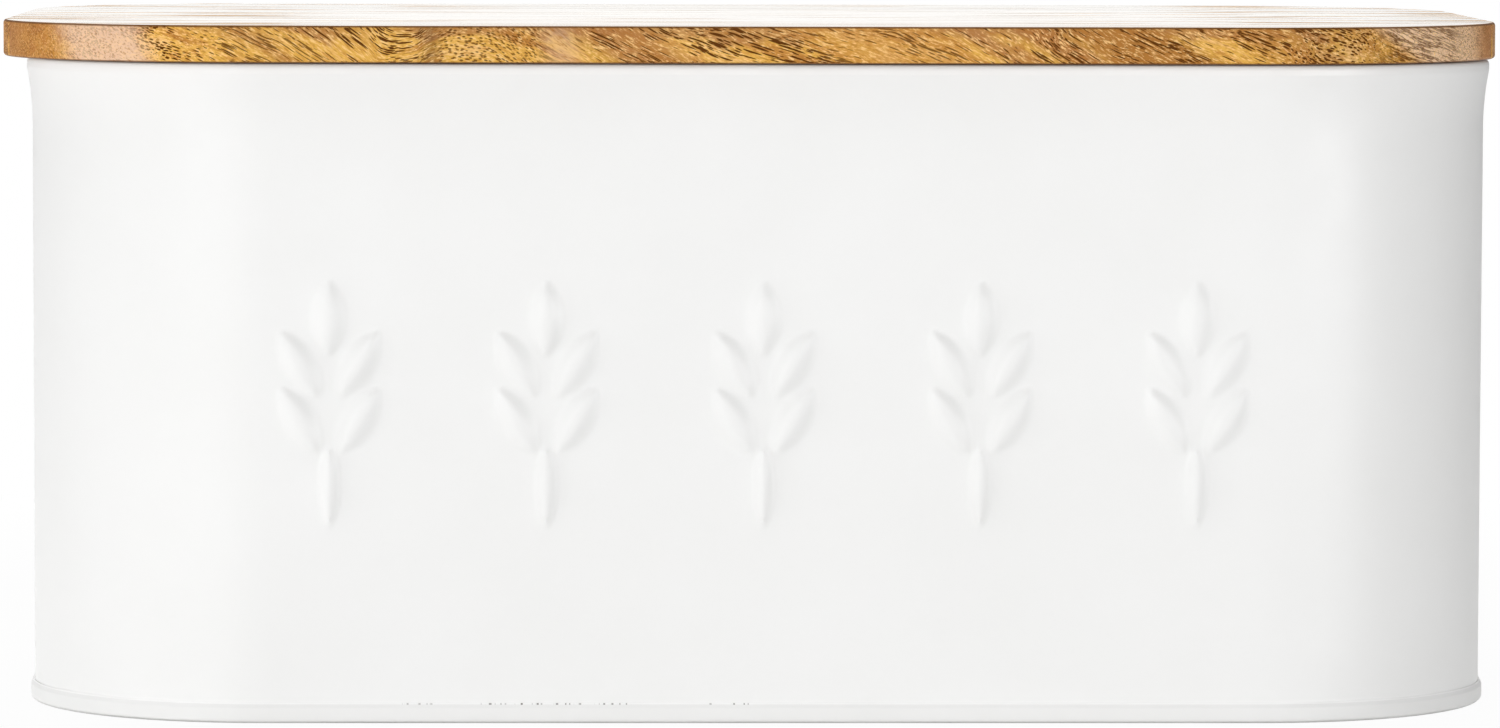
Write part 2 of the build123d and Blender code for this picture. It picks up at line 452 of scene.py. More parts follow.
def rounded_path(corners, radii):
    """Line through the corners on the section plane, with each inner corner turned into an arc."""
    corners = np.array(corners, float)
    points = [corners[0]]
    for before, here, after, radius in zip(corners, corners[1:], corners[2:], radii):
        back = (before - here) / np.linalg.norm(before - here)
        ahead = (after - here) / np.linalg.norm(after - here)
        half = np.arccos(np.clip(back @ ahead, -1, 1)) / 2
        trim = radius / np.tan(half)
        middle = (back + ahead) / np.linalg.norm(back + ahead)
        centre = here + middle * radius / np.sin(half)
        first, last = here + back * trim - centre, here + ahead * trim - centre
        sweep = pi - 2 * half
        for share in np.linspace(0, 1, FOLD_STEPS + 1):
            weights = np.sin((1 - share) * sweep), np.sin(share * sweep)
            points.append(centre + (first * weights[0] + last * weights[1]) / np.sin(sweep))
    points.append(corners[-1])
    return np.array(points)


def two_sides(path):
    """The left and right faces of a sheet whose middle follows the path."""
    ahead = np.gradient(path, axis=0)
    ahead /= np.linalg.norm(ahead, axis=1)[:, None]
    left = np.column_stack((-ahead[:, 1], ahead[:, 0])) * SHEET / 2
    return path + left, path - left


def swept_mesh(name, stations, outs, ups, closed):
    """Outline carried round the plan: outs and ups hold its points at every station.

    A closed outline joins its last point to its first; an open one gets a face at each end.
    """
    count, length = outs.shape
    x = stations[:, 0:1] + stations[:, 2:3] * outs
    y = stations[:, 1:2] + stations[:, 3:4] * outs
    verts = np.stack((x, y, ups), axis=-1).reshape(-1, 3)
    faces = []
    for here in range(count):
        ahead = (here + 1) % count
        for step in range(length if closed else length - 1):
            above = (step + 1) % length
            faces.append(
                (here * length + step, ahead * length + step,
                 ahead * length + above, here * length + above)
            )
    if not closed:
        faces.append([here * length for here in reversed(range(count))])
        faces.append([here * length + length - 1 for here in range(count)])
    mesh = bpy.data.meshes.new(name)
    mesh.from_pydata(verts.tolist(), [], faces)
    return mesh


def finish_mesh(mesh, sharp_angle):
    """Turns every face outwards and shades the mesh smooth up to an angle."""
    work = bmesh.new()
    work.from_mesh(mesh)
    bmesh.ops.recalc_face_normals(work, faces=work.faces)
    work.to_mesh(mesh)
    work.free()
    mesh.shade_smooth()
    mesh.set_sharp_from_angle(angle=sharp_angle)


def add_piece(name, mesh, body, node, material):
    """Puts a piece in the scene in place of a CAD node."""
    piece = bpy.data.objects.new(name, mesh)
    bpy.context.scene.collection.objects.link(piece)
    mesh.materials.append(material)
    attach(piece, body)
    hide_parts(node)


def smooth_step(share):
    """Rises from 0 to 1 with level ends."""
    share = np.clip(share, 0, 1)
    return share * share * (3 - 2 * share)


def leaf_places():
    """Middle, lean to the right, length and width of every pressed leaf on the front."""
    places = []
    for ear in range(EAR_COUNT):
        ear_x = (ear - (EAR_COUNT - 1) / 2) * EAR_SPACING
        places.append((ear_x, TIP_MIDDLE, 0, GRAIN_LENGTH, GRAIN_WIDTH))
        places.append((ear_x, STEM_MIDDLE, 0, STEM_LENGTH, STEM_WIDTH))
        for pair in range(GRAIN_PAIRS):
            height = TIP_MIDDLE - GRAIN_FIRST - pair * GRAIN_PITCH
            for side in (-1, 1):
                grain_x = ear_x + side * GRAIN_OFFSET
                places.append((grain_x, height, side * GRAIN_LEAN, GRAIN_LENGTH, GRAIN_WIDTH))
    return places


def relief(x, z):
    """How far the front stands out at x, z: soft pointed leaves pressed into the sheet."""
    height = np.zeros(np.broadcast(x, z).shape)
    for middle_x, middle_z, lean, length, width in leaf_places():
        along = (x - middle_x) * sin(lean) + (z - middle_z) * cos(lean)
        across = (x - middle_x) * cos(lean) - (z - middle_z) * sin(lean)
        bow = (length**2 + width**2) / (4 * width)
        half_width = np.sqrt(np.maximum(bow**2 - along**2, 0)) - bow + width / 2 + RELIEF_FOOT
        half_width = np.maximum(half_width, RELIEF_FOOT / 2)
        crown = smooth_step((1 - np.abs(across) / half_width) / RELIEF_FLANK)
        taper = np.clip(1 - (along / (length / 2 + RELIEF_FOOT)) ** 2, 0, 1) ** RELIEF_TAPER
        height = np.maximum(height, RELIEF_RISE * crown * taper)
    return height


def lock_seam(x, z):
    """How far the back stands out at x, z: the folded seam, and the butt joint beyond its ends."""
    left = smooth_step((x + SEAM_HALF + SEAM_STEP) / SEAM_STEP)
    right = smooth_step((SEAM_HALF + LAYER + SEAM_SLOPE - x) / SEAM_SLOPE)
    low = smooth_step((z - SEAM_LOW) / SEAM_SLOPE)
    high = smooth_step((SEAM_HIGH - z) / SEAM_SLOPE)
    seam = left * right * low * high
    butt = np.exp(-((x / BUTT_WIDTH) ** 2)) * (1 - low * high)
    return SEAM_RISE * seam - BUTT_DEPTH * butt


def seam_xs():
    """Places across the back that the seam's edges and the butt joint need."""
    return [
        -SEAM_HALF - SEAM_LAND, -SEAM_HALF - SEAM_STEP, -SEAM_HALF - SEAM_STEP / 2, -SEAM_HALF,
        -SEAM_HALF + SEAM_INSIDE, -BUTT_LAND, -2 * BUTT_WIDTH, -BUTT_WIDTH, -BUTT_WIDTH / 2, 0,
        BUTT_WIDTH / 2, BUTT_WIDTH, 2 * BUTT_WIDTH, BUTT_LAND, SEAM_HALF, SEAM_HALF + LAYER,
        SEAM_HALF + LAYER + SEAM_SLOPE / 2, SEAM_HALF + LAYER + SEAM_SLOPE,
        SEAM_HALF + LAYER + SEAM_SLOPE + SEAM_BEYOND,
    ]


def ripple(stations, scale, seed):
    """Slow irregular wave round the plan, between about -1 and 1, for one value per station."""
    return np.array([noise.noise(Vector((x * scale, y * scale, seed))) for x, y, _, _ in stations])


def wall_levels():
    """Heights of the wall's upright stretch: close together at the leaves and the seam's ends."""
    relief_low = STEM_MIDDLE - STEM_LENGTH / 2 - LEAF_MARGIN
    relief_high = EAR_TOP + LEAF_MARGIN
    return np.concatenate((
        np.linspace(RISE_START, SEAM_LOW - SEAM_SLOPE / 2, FOOT_LEVELS),
        np.linspace(SEAM_LOW, SEAM_LOW + SEAM_SLOPE, SLOPE_LEVELS),
        np.linspace(SEAM_LOW + PLAIN_MARGIN, relief_low - PLAIN_MARGIN, PLAIN_LEVELS),
        np.arange(relief_low, relief_high, RELIEF_STEP),
        np.linspace(relief_high + LEAF_MARGIN, SEAM_HIGH - SEAM_END_MARGIN, PLAIN_LEVELS),
        np.linspace(SEAM_HIGH - SEAM_SLOPE, SEAM_HIGH, SLOPE_LEVELS),
        [SEAM_HIGH + SEAM_END_MARGIN],
    ))


def wall_path(levels):
    """Middle of the wall's sheet from the hem to the end of the roll, and the hem's points."""
    middle = -SHEET / 2
    hem = rounded_path(
        [
            (FOLD_GAP + SHEET / 2, HEM_HEIGHT),
            (FOLD_GAP + SHEET / 2, LAYER + SHEET / 2),
            (middle, LAYER + SHEET / 2),
            (middle, HEM_END),
        ],
        [HEM_RADIUS, HEM_RADIUS],
    )
    rise = np.column_stack((np.full(len(levels), middle), levels))
    flare_centre = (FLARE_RADIUS, FLARE_BASE)
    flare = arc(flare_centre, FLARE_RADIUS + SHEET / 2, pi, -FLARE_LEAN, FLARE_STEPS)
    roll_centre = (ROLL_X, ROLL_Z)
    roll = arc(roll_centre, ROLL_RADIUS - SHEET / 2, -FLARE_LEAN, ROLL_TURN, ROLL_STEPS)
    return np.concatenate((hem, rise, flare, squared(roll, roll_centre)[1:])), len(hem)


def wall_mesh():
    """The wall strip: hem at the foot, pressed front, seam at the back, flare and roll on top."""
    front_xs = np.linspace(-FLAT_X, FLAT_X, round(2 * FLAT_X / RELIEF_STEP) + 1)
    side_of_seam = np.linspace(FLAT_X, SEAM_ZONE, BACK_POINTS)
    back_xs = np.sort(np.concatenate((-side_of_seam, seam_xs(), side_of_seam)))
    stations = plan_stations(front_xs, back_xs, WALL_CORNER_STEPS, WALL_SIDE_STEPS)
    levels = wall_levels()
    path, rise_start = wall_path(levels)
    rise_end = rise_start + len(levels)
    inner, outer = two_sides(path)

    x, _, _, out_y = (stations[:, column:column + 1] for column in range(4))
    pressed = np.where(out_y == -1, relief(x, path[:, 1]), 0)
    pressed[:, :rise_start] = 0
    pressed[:, rise_end:] = 0
    seam = np.where(out_y == 1, lock_seam(x, path[:, 1]), 0)
    seam[:, :rise_start] = 0
    outs = np.concatenate((outer[:, 0] + pressed + seam, (inner[:, 0] + pressed)[:, ::-1]), axis=1)
    ups = np.broadcast_to(np.concatenate((outer[:, 1], inner[::-1, 1])), outs.shape)
    mesh = swept_mesh("wall_shell", stations, outs, ups, closed=True)
    finish_mesh(mesh, METAL_SHARP)
    return mesh


def base_mesh():
    """The base: raised panel, floor, tray wall and the flange folded up over the hem."""
    even = np.linspace(-FLAT_X, FLAT_X, BASE_FRONT_POINTS)
    stations = plan_stations(even, even, WALL_CORNER_STEPS, BASE_SIDE_STEPS)
    half = SHEET / 2
    path = rounded_path(
        [
            (-PANEL_INSET - PANEL_SLOPE - PANEL_RIM, FLOOR_HEIGHT + PANEL_RISE - half),
            (-PANEL_INSET - PANEL_SLOPE, FLOOR_HEIGHT + PANEL_RISE - half),
            (-PANEL_INSET, FLOOR_HEIGHT - half),
            (-LAYER - half, FLOOR_HEIGHT - half),
            (-LAYER - half, half),
            (BEAD_PROUD - half, half),
            (BEAD_PROUD - half, SHOULDER_HEIGHT),
            (FOLD_GAP + half * LIP_END[0], BEAD_HEIGHT - half * LIP_END[1]),
        ],
        [PANEL_RADIUS, PANEL_RADIUS, PRESS_RADIUS, PRESS_RADIUS, FOOT_RADIUS, LIP_RADIUS],
    )
    upper, lower = two_sides(path)
    # The lip's edge wanders a little along the sides and wrinkles where it was folded round corners
    bent = np.minimum(np.abs(stations[:, 2]), np.abs(stations[:, 3])) / sin(pi / 4)
    wave = LIP_WAVE * ripple(stations, *WAVE_NOISE)
    wave += LIP_WRINKLE * smooth_step(bent) * ripple(stations, *WRINKLE_NOISE)
    outs = np.concatenate((upper[:, 0], lower[::-1, 0]))
    ups = np.concatenate((upper[:, 1], lower[::-1, 1]))
    lip = smooth_step((ups - LIP_START) / (BEAD_HEIGHT - LIP_START)) * (outs > -SHEET / 2)
    ups = ups + lip * wave[:, None]
    outs = outs - LIP_TUCK * lip * np.abs(wave)[:, None]
    mesh = swept_mesh("base_tray", stations, outs, ups, closed=False)
    finish_mesh(mesh, METAL_SHARP)
    return mesh


def lid_board():
    """The whole lid before it is cut: rounded board with a plug underneath, as a bmesh."""
    even = np.linspace(-FLAT_X, FLAT_X, LID_FRONT_POINTS)
    stations = plan_stations(even, even, LID_CORNER_STEPS, LID_SIDE_STEPS)
    stations[:, 0] += LID_SHIFT
    top = LID_HIGH.z
    outline = np.concatenate((
        arc((LID_OVERHANG - LID_EDGE, top - LID_EDGE), LID_EDGE, pi / 2, -pi / 2, EDGE_STEPS),
        arc((LID_OVERHANG - LID_EDGE, LID_UNDER + LID_EDGE), LID_EDGE, 0, -pi / 2, EDGE_STEPS),
        [(-PLUG_INSET + PLUG_ROOT, LID_UNDER)],
        arc(
            (-PLUG_INSET - PLUG_EDGE, LID_LOW.z + PLUG_EDGE),
            PLUG_EDGE, 0, -pi / 2, PLUG_EDGE_STEPS,
        ),
    ))
    outs = np.broadcast_to(outline[:, 0], (len(stations), len(outline)))
    ups = np.broadcast_to(outline[:, 1], outs.shape)
    mesh = swept_mesh("lid_board", stations, outs, ups, closed=False)
    finish_mesh(mesh, WOOD_SHARP)
    board = bmesh.new()
    board.from_mesh(mesh)
    bpy.data.meshes.remove(mesh)
    return board


def stave_mesh(board, row, low_y, high_y):
    """One stave of the lid, cut from the board between two glue lines, with eased joint edges."""
    stave = board.copy()
    for level, side in ((low_y, -1), (high_y, 1)):
        if abs(level) > LID_HIGH.y - ON_OUTLINE:
            continue
        everything = [*stave.verts, *stave.edges, *stave.faces]
        bmesh.ops.bisect_plane(
            stave, geom=everything, plane_co=(0, level, 0), plane_no=(0, side, 0), clear_outer=True
        )
        open_edges = [edge for edge in stave.edges if edge.is_boundary]
        bmesh.ops.holes_fill(stave, edges=open_edges, sides=0)
        joint_edges = [
            edge for edge in stave.edges
            if all(abs(vert.co.y - level) < ON_CUT for vert in edge.verts)
        ]
        bmesh.ops.bevel(
            stave, geom=joint_edges, offset=GLUE_GROOVE, segments=1, affect="EDGES", profile=0.5
        )
    mesh = bpy.data.meshes.new(f"lid_board_{row + 1}")
    stave.to_mesh(mesh)
    stave.free()
    finish_mesh(mesh, WOOD_SHARP)
    return mesh


def node(tree, kind, inputs=None, **settings):
    """Adds a node and returns its outputs; a value in inputs may be another node's output."""
    made = tree.nodes.new(kind)
    for name, value in settings.items():
        setattr(made, name, value)
    for name, value in (inputs or {}).items():
        feed(tree, made.inputs[name], value)
    return made.outputs


def feed(tree, socket, value):
    """Sets a socket to a value, or links it where the value is another node's output."""
    if isinstance(value, bpy.types.NodeSocket):
        tree.links.new(value, socket)
    else:
        socket.default_value = value


def calculate(tree, operation, first, second=0.0):
    """One step of arithmetic on numbers."""
    return node(tree, "ShaderNodeMath", {0: first, 1: second}, operation=operation)[0]


def product(tree, *factors):
    """Product of two or more numbers."""
    result = factors[0]
    for factor in factors[1:]:
        result = calculate(tree, "MULTIPLY", result, factor)
    return result


def total(tree, *terms):
    """Sum of two or more numbers."""
    result = terms[0]
    for term in terms[1:]:
        result = calculate(tree, "ADD", result, term)
    return result


def less(tree, first, second):
    """The first number less the second."""
    return calculate(tree, "SUBTRACT", first, second)


def size_of(tree, value):
    """A number without its sign."""
    return calculate(tree, "ABSOLUTE", value)


def joined(tree, x=0.0, y=0.0, z=0.0):
    """A vector of three numbers."""
    return node(tree, "ShaderNodeCombineXYZ", {0: x, 1: y, 2: z})[0]


def remap(tree, value, low, high, to_low=0.0, to_high=1.0):
    """Carries low..high smoothly to to_low..to_high."""
    settings = {
        "Value": value, "From Min": low, "From Max": high, "To Min": to_low, "To Max": to_high
    }
    return node(tree, "ShaderNodeMapRange", settings, interpolation_type="SMOOTHSTEP")[0]


def grain_noise(tree, vector, scale=1.0, detail=2.0, roughness=0.5):
    """Noise over a vector, from 0 to 1."""
    settings = {"Vector": vector, "Scale": scale, "Detail": detail, "Roughness": roughness}
    return node(tree, "ShaderNodeTexNoise", settings)[0]


def blend(tree, share, first, second):
    """Mixes two colours."""
    made = tree.nodes.new("ShaderNodeMix")
    made.data_type = "RGBA"
    for socket, value in zip(COLOUR_MIX_INPUTS, (share, first, second)):
        feed(tree, made.inputs[socket], value)
    return made.outputs[COLOUR_MIX_RESULT]


def new_material(name):
    """An empty principled material: returns it, its tree and its shader."""
    material = bpy.data.materials.new(name)
    material.use_nodes = True
    return material, material.node_tree, material.node_tree.nodes["Principled BSDF"]


def place_mm(tree):
    """Position in the object's own frame, in millimetres, and its x, y and z."""
    own = node(tree, "ShaderNodeTexCoord")["Object"]
    per_mm = (1 / MM, 1 / MM, 1 / MM)
    scaled = node(tree, "ShaderNodeVectorMath", {0: own, 1: per_mm}, operation="MULTIPLY")[0]
    split = node(tree, "ShaderNodeSeparateXYZ", {0: scaled})
    return scaled, split[0], split[1], split[2]


def zone(tree, value, low, high, soft):
    """1 between low and high, falling to 0 over soft on both sides."""
    rise = remap(tree, value, low - soft, low + soft)
    fall = remap(tree, value, high - soft, high + soft, 1.0, 0.0)
    return product(tree, rise, fall)


def crease_spots(tree, x, y, z, pinholes):
    """How dark the crease above the lip is: small spots along the front, in listed stretches."""
    level = less(tree, z, (BEAD_HEIGHT - PINHOLE_DROP) / MM)
    near = remap(tree, size_of(tree, level), *SPOT_REACH, 1.0, 0.0)
    on_front = calculate(tree, "LESS_THAN", y, -HALF_Y / MM)
    grit = joined(tree, product(tree, x, SPOT_SCALE))
    holes = remap(tree, grain_noise(tree, grit, detail=1), *SPOT_NOISE)
    stretches = 0.0
    for low, high, strength in pinholes:
        here = product(tree, zone(tree, x, low, high, SPOT_SOFTNESS), strength)
        stretches = calculate(tree, "MAXIMUM", stretches, here)
    return product(tree, holes, near, stretches, on_front)


def enamel(name, shade, pinholes):
    """Satin white enamel: faint orange peel and mottling, painted shade at the foot, spots along
    the crease.

    shade is how strong the painted shade on the fold below the lip is; with it, the lip gets a
    painted highlight.
    pinholes lists stretches along X where the crease above the lip shows small dark spots, and
    how strongly.
    """
    material, tree, shader = new_material(name)
    position, x, y, z = place_mm(tree)
    mottle = grain_noise(tree, position, MOTTLE_SCALE, detail=3)
    colour = blend(tree, mottle, ENAMEL_LOW, ENAMEL_HIGH)
    # Painted shade on the fold below the lip, and a painted highlight on the lip's edge
    if shade:
        colour = blend(tree, remap(tree, z, *FOLD_SHADE_HEIGHTS, shade, 0.0), colour, FOLD_SHADE)
        colour = blend(tree, remap(tree, z, *LIP_HIGHLIGHT_HEIGHTS, 0.0, LIP_HIGHLIGHT_SHARE), colour, LIP_PAINTED_HIGHLIGHT)
    # Mottled painted shade along the foot's lower edge
    near_foot = remap(tree, z, *FOOT_SHADE_HEIGHTS, 1.0, 0.0)
    foot_shade = product(tree, near_foot, remap(tree, mottle, *EVEN_NOISE, *FOOT_SHADE_RANGE))
    colour = blend(tree, foot_shade, colour, FOOT_SHADE_GREY)
    if pinholes:
        spots = crease_spots(tree, x, y, z, pinholes)
        colour = blend(tree, spots, colour, SPOT_BROWN)
    feed(tree, shader.inputs["Base Color"], colour)
    cloud = grain_noise(tree, position, SATIN_SCALE, detail=3)
    satin = remap(tree, cloud, *EVEN_NOISE, *SATIN)
    feed(tree, shader.inputs["Roughness"], satin)
    peel = grain_noise(tree, position, PEEL_SCALE)
    settings = {"Strength": PEEL_STRENGTH, "Distance": PEEL_DEPTH, "Height": peel}
    feed(tree, shader.inputs["Normal"], node(tree, "ShaderNodeBump", settings)[0])
    return material


def climb(tree, x, slopes):
    """How far the grain has dropped at x, for a list of places and angles of its slope."""
    places = np.array([place for place, angle in slopes], float)
    steepness = np.tan(np.radians([angle for place, angle in slopes]))
    drops = np.diff(places) * (steepness[1:] + steepness[:-1]) / 2
    drops = np.concatenate(([0], np.cumsum(drops)))
    low, high = drops.min(), max(drops.max(), drops.min() + 1)
    curve = tree.nodes.new("ShaderNodeFloatCurve")
    points = curve.mapping.curves[0].points
    for place, drop in zip(places[1:-1], drops[1:-1]):
        points.new((place - places[0]) / (places[-1] - places[0]), (drop - low) / (high - low))
    points[0].location = (0, (drops[0] - low) / (high - low))
    points[len(points) - 1].location = (1, (drops[-1] - low) / (high - low))
    curve.mapping.update()
    span = {"Value": x, "From Min": float(places[0]), "From Max": float(places[-1])}
    feed(tree, curve.inputs["Value"], node(tree, "ShaderNodeMapRange", span)[0])
    return product(tree, curve.outputs[0], float(high - low))


def dashes(tree, vector, size, spread=STROKE_EDGE):
    """Dark lens-shaped strokes over a stretched vector: size is a number or an output."""
    settings = {"Vector": vector, "Scale": 1.0, "Randomness": 1.0}
    away = node(tree, "ShaderNodeTexVoronoi", settings)["Distance"]
    return remap(tree, less(tree, away, size), -spread, spread / 3, 1.0, 0.0)


class Stave:
    """Places and directions that the wood of one stave is worked out from, in millimetres.

    The fibres run along X and slope down through the board, as the edges show. On the top and
    underneath they are nearly level, and longer.
    """

    def __init__(self, tree, row, slopes):
        self.tree = tree
        _, self.x, self.y, self.z = place_mm(tree)
        normal = node(tree, "ShaderNodeNewGeometry")["Normal"]
        self.endways, _, self.upward = node(tree, "ShaderNodeSeparateXYZ", {0: normal})
        self.sideways = remap(tree, size_of(tree, self.upward), *LEVEL_TURN, 1.0, 0.0)
        parts = [self.divided(*pair) for pair in zip((self.x, self.y, self.z), WANDER)]
        wander = grain_noise(tree, joined(tree, *parts), detail=1)
        bend = product(tree, less(tree, wander, 0.5), FIBRE_BEND)
        dive = product(tree, climb(tree, self.x, slopes), self.by_face(LEVEL_DIVE, 1.0))
        self.run = product(tree, self.x, self.by_face(LEVEL_RUN, 1.0))
        self.across = total(tree, self.z, dive, bend, row * STAVE_APART)
        self.depth = total(tree, self.y, bend)

    def divided(self, value, length):
        """A value in steps of a length."""
        return calculate(self.tree, "DIVIDE", value, length)

    def by_face(self, level, edge):
        """One number on the level faces and another on the edges."""
        return remap(self.tree, self.sideways, 0, 1, level, edge)

    def fibres(self, length, width, shift=0.0):
        """Vector that stretches a pattern along the fibres."""
        along = total(self.tree, self.divided(self.run, length), shift)
        deep = self.divided(self.depth, width)
        return joined(self.tree, along, deep, self.divided(self.across, width))


def wood_tone(stave, cast, zones):
    """Broad tones of a stave, and how much of its pore strokes each place keeps."""
    tree = stave.tree
    bands = grain_noise(tree, stave.fibres(*BANDS), detail=4, roughness=0.65)
    colour = AMBER
    for low, high, tone in BAND_TONES:
        colour = blend(tree, remap(tree, bands, low, high), colour, tone)
    tone, share = cast
    colour = blend(tree, share, colour, tone)

    patches = grain_noise(tree, stave.fibres(*PATCHES), detail=3)
    height = total(tree, stave.z, product(tree, patches, BROWN_WANDER))
    brown = product(tree, remap(tree, height, *BROWN_HEIGHTS), stave.sideways)
    colour = blend(tree, product(tree, brown, BROWN_SHARE), colour, ROSE)
    end_grain = remap(tree, size_of(tree, stave.endways), *END_GRAIN_TURN, 0.0, END_GRAIN_SHARE)
    colour = blend(tree, end_grain, colour, RUST)

    keep = 1.0
    above_middle = less(tree, stave.z, (LID_TOP_MM + LID_UNDER_MM) / 2)
    for low, high, lean, tone, share, strokes_kept in zones:
        leaning = total(tree, stave.x, product(tree, above_middle, lean))
        here = zone(tree, leaning, low, high, min(ZONE_SOFTNESS, (high - low) / 2))
        here = product(tree, here, stave.sideways)
        colour = blend(tree, product(tree, here, share), colour, tone)
        keep = product(tree, keep, less(tree, 1, product(tree, here, 1 - strokes_kept)))
    return colour, keep


def wood_pores(stave, keep, specks, rings):
    """Dark pores: long and short strokes, dots where specks says, fine lines where rings says."""
    tree = stave.tree
    density = grain_noise(tree, stave.fibres(*PORE_CLUSTERS), detail=1)
    sparse = stave.by_face(LONG_SPARSE_LEVEL, LONG_SPARSE_EDGE)
    long_size = remap(tree, density, *LONG_GROWTH, sparse, LONG_DENSE)
    short_size = remap(tree, density, *SHORT_GROWTH, *SHORT_SIZES)
    long_strokes = dashes(tree, stave.fibres(*LONG_STROKES), long_size)
    short_strokes = dashes(tree, stave.fibres(*SHORT_STROKES, SHORT_SHIFT), short_size)
    pores = calculate(tree, "MAXIMUM", long_strokes, short_strokes)
    for low, high in specks:
        here = product(tree, zone(tree, stave.x, low, high, DOT_SOFTNESS), stave.sideways)
        dots = dashes(tree, stave.fibres(*DOTS, DOT_SHIFT), DOT_SIZE, DOT_EDGE)
        strokes = product(tree, pores, less(tree, 1, here))
        pores = total(tree, strokes, product(tree, dots, here, DOT_SHARE))
    for low, high in rings:
        here = product(tree, zone(tree, stave.x, low, high, RING_SOFTNESS), stave.sideways)
        length, width = RINGS
        along = stave.divided(stave.x, length)
        level = joined(tree, along, 0.0, stave.divided(stave.across, width))
        figure = grain_noise(tree, level, detail=3, roughness=0.6)
        ring = size_of(tree, less(tree, figure, 0.5))
        line = product(tree, remap(tree, ring, 0.0, RING_LINE, 1.0, 0.0), here, RING_SHARE)
        strokes = product(tree, pores, less(tree, 1, product(tree, here, RING_COVER)))
        pores = calculate(tree, "MAXIMUM", strokes, line)
    return product(tree, pores, keep)


def top_edge_and_gap_shade(stave):
    """Darker upper edge of the board, and painted shade of the gap under the lid along the lower
    edge and underneath.
    """
    tree = stave.tree
    upper = remap(tree, stave.z, *TOP_EDGE_DARK)
    lower = remap(tree, stave.z, *UNDER_GAP_SHADE, 1.0, 0.0)
    edges = calculate(tree, "MAXIMUM", product(tree, upper, stave.sideways), lower)
    return product(tree, edges, EDGE_DARK_SHARE)


def lacquer(stave, shader, pores, fine):
    """Polished top, broken by thin dull lines along the fibres, and satin edges with open pores."""
    tree = stave.tree
    polish = remap(tree, stave.upward, *POLISHED_TURN)
    length, width = DULL_SIZE
    level = joined(tree, stave.divided(stave.x, length), stave.divided(stave.y, width))
    lines = remap(tree, grain_noise(tree, level, detail=0), *DULL_LINES)
    ends = remap(tree, size_of(tree, stave.x), *DULL_ENDS, DULL_MIDDLE_SHARE, 1.0)
    grazing = node(tree, "ShaderNodeLayerWeight", {"Blend": 0.5})["Facing"]
    grazing = remap(tree, grazing, *DULL_GRAZING, DULL_STEEP_SHARE, 1.0)
    streaks = product(tree, lines, ends, grazing)
    gloss = product(tree, polish, less(tree, 1, streaks))
    satin = remap(tree, pores, 0, 1, SATIN_ROUGHNESS, PORE_ROUGHNESS)
    settings = {"Value": gloss, "To Min": satin, "To Max": POLISHED_ROUGHNESS}
    feed(tree, shader.inputs["Roughness"], node(tree, "ShaderNodeMapRange", settings)[0])
    feed(tree, shader.inputs["Coat Weight"], gloss)
    shader.inputs["Specular IOR Level"].default_value = LACQUER_SPECULAR
    shader.inputs["Coat IOR"].default_value = COAT_IOR
    shader.inputs["Coat Roughness"].default_value = COAT_ROUGHNESS
    hollow = less(tree, product(tree, fine, FIBRE_HEIGHT), pores)
    strength = remap(tree, polish, 0, 1, GRAIN_STRENGTH, 0.0)
    settings = {"Strength": strength, "Distance": GRAIN_DEPTH, "Height": hollow}
    feed(tree, shader.inputs["Normal"], node(tree, "ShaderNodeBump", settings)[0])


def wood(name, row, cast, slopes, zones, specks, rings):
    """Lacquered wood of one stave.

    cast is the stave's own tone and its share. slopes lists places along X and the angle of the
    grain there. The rest is for the edges alone: zones lists stretches along X that take another
    tone, with their lean, tone, share and how much of the pore strokes they keep. specks lists
    stretches where the fibres come out of the front, so that the pores show as dots, and rings
    lists stretches with fine lines along the grain instead of strokes.
    """
    material, tree, shader = new_material(name)
    stave = Stave(tree, row, slopes)
    colour, keep = wood_tone(stave, cast, zones)
    fine = grain_noise(tree, stave.fibres(*FINE_FIBRES), roughness=0.7)
    colour = blend(tree, remap(tree, fine, *DARK_FIBRES, DARK_SHARE, 0.0), colour, AMBER)
    flecks = remap(tree, fine, *LIGHT_FIBRES, 0.0, LIGHT_SHARE)
    flecks = product(tree, flecks, remap(tree, keep, 0, 1, LIGHT_KEPT, 1.0))
    colour = blend(tree, flecks, colour, LIGHT)
    pores = wood_pores(stave, keep, specks, rings)
    dark = product(tree, pores, stave.by_face(PORES_ON_LEVEL, 1.0))
    colour = blend(tree, dark, colour, PORE)
    # Darker top edge, and painted shade of the gap between lid and rim on the lower edge and
    # underneath
    colour = blend(tree, top_edge_and_gap_shade(stave), colour, UMBER)
    feed(tree, shader.inputs["Base Color"], colour)
    lacquer(stave, shader, pores, fine)
    return material


def white_to_camera(tree, share, shader, mirrored=1.0):
    """Adds plain white to a surface or world for the camera and, in part, for gloss.

    share is how much of what the camera sees is white, and mirrored how much of that gloss sees.
    """
    path = node(tree, "ShaderNodeLightPath")
    gloss = product(tree, path["Is Glossy Ray"], mirrored)
    seen = product(tree, calculate(tree, "MAXIMUM", path["Is Camera Ray"], gloss), share)
    tint = blend(tree, path["Is Camera Ray"], MIRRORED_WHITE, (1, 1, 1, 1))
    white = node(tree, "ShaderNodeEmission", {"Color": tint, "Strength": 1.0})[0]
    return node(tree, "ShaderNodeMixShader", {0: seen, 1: shader, 2: white})[0]


